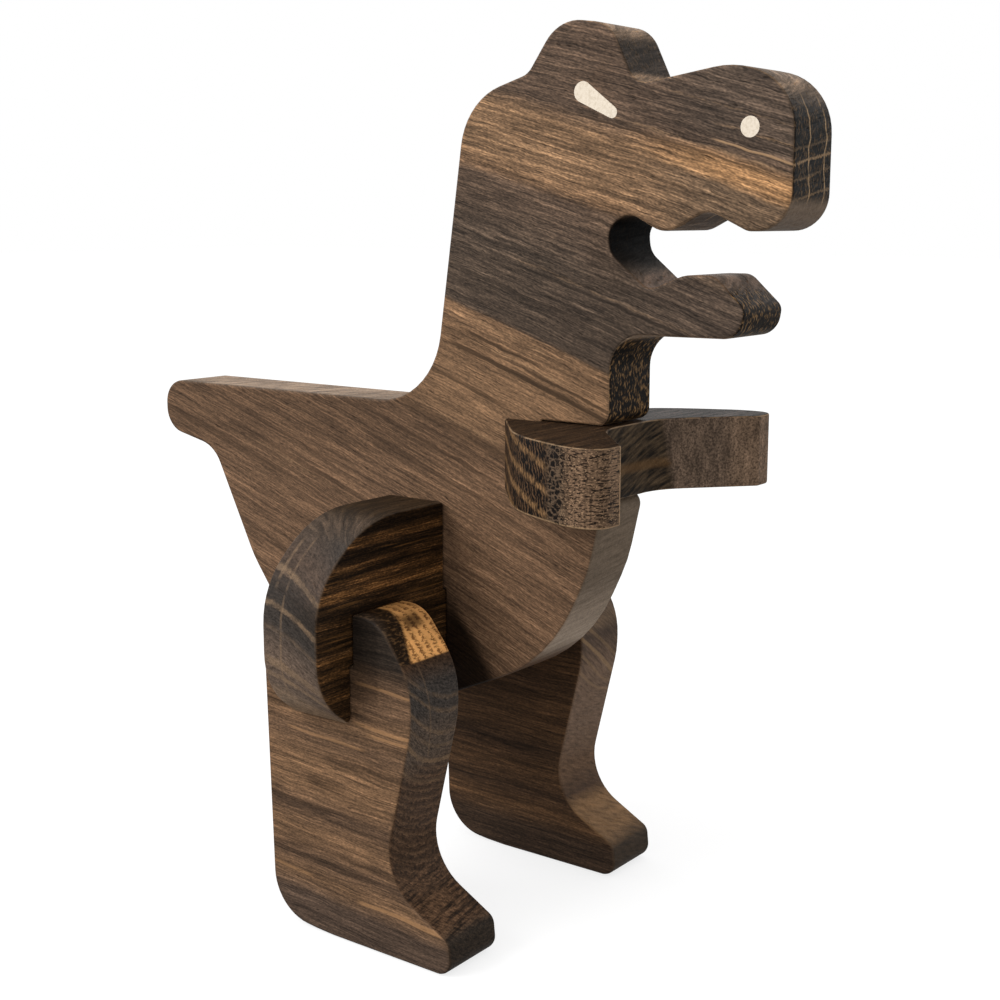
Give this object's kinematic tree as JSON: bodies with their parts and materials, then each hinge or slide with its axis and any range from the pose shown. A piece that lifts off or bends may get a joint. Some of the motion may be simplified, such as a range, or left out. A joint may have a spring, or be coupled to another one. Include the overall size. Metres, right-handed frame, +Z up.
{
  "type": "wooden 3d jigsaw model",
  "caption": "Slotted dark-oak dinosaur model: flat body board, crosspiece, standing legs and a forward-reaching arms board that lap together without glue.",
  "frame": {"origin": "middle of the whole model's footprint, on the plane of the soles", "axes": "+X towards the snout, +Y towards the animal's left side, +Z up"},
  "size_m": [0.1938, 0.1116, 0.2167],
  "materials": {
    "body_wood": "satin oiled, dark smoked oak with tan and grey bands",
    "crosspiece_wood": "satin oiled, dark smoked oak",
    "leg_wood": "satin oiled, dark smoked oak",
    "arms_wood": "satin oiled, dark smoked oak",
    "cream_fill": "matte cream filler"
  },
  "bodies": {
    "hips": {"hip_bar": "crosspiece_wood"},
    "trunk": {"body": "body_wood", "eye_fill_right": "cream_fill", "eye_fill_left": "cream_fill", "nostril_fill_right": "cream_fill", "nostril_fill_left": "cream_fill"},
    "leg_right": {"leg_right": "leg_wood"},
    "leg_left": {"leg_left": "leg_wood"},
    "arms": {"arms": "arms_wood"}
  },
  "joints": [
    {"name": "trunk_lift", "type": "slide", "parent": "hips", "child": "trunk", "axis": [0, 0, 1], "range_m": [0, 0.06]},
    {"name": "leg_right_pull", "type": "slide", "parent": "hips", "child": "leg_right", "axis": [0, 0, -1], "range_m": [0, 0.03]},
    {"name": "leg_left_pull", "type": "slide", "parent": "hips", "child": "leg_left", "axis": [0, 0, -1], "range_m": [0, 0.03]},
    {"name": "arms_pull", "type": "slide", "parent": "trunk", "child": "arms", "axis": [1, 0, 0], "range_m": [0, 0.035]}
  ]
}
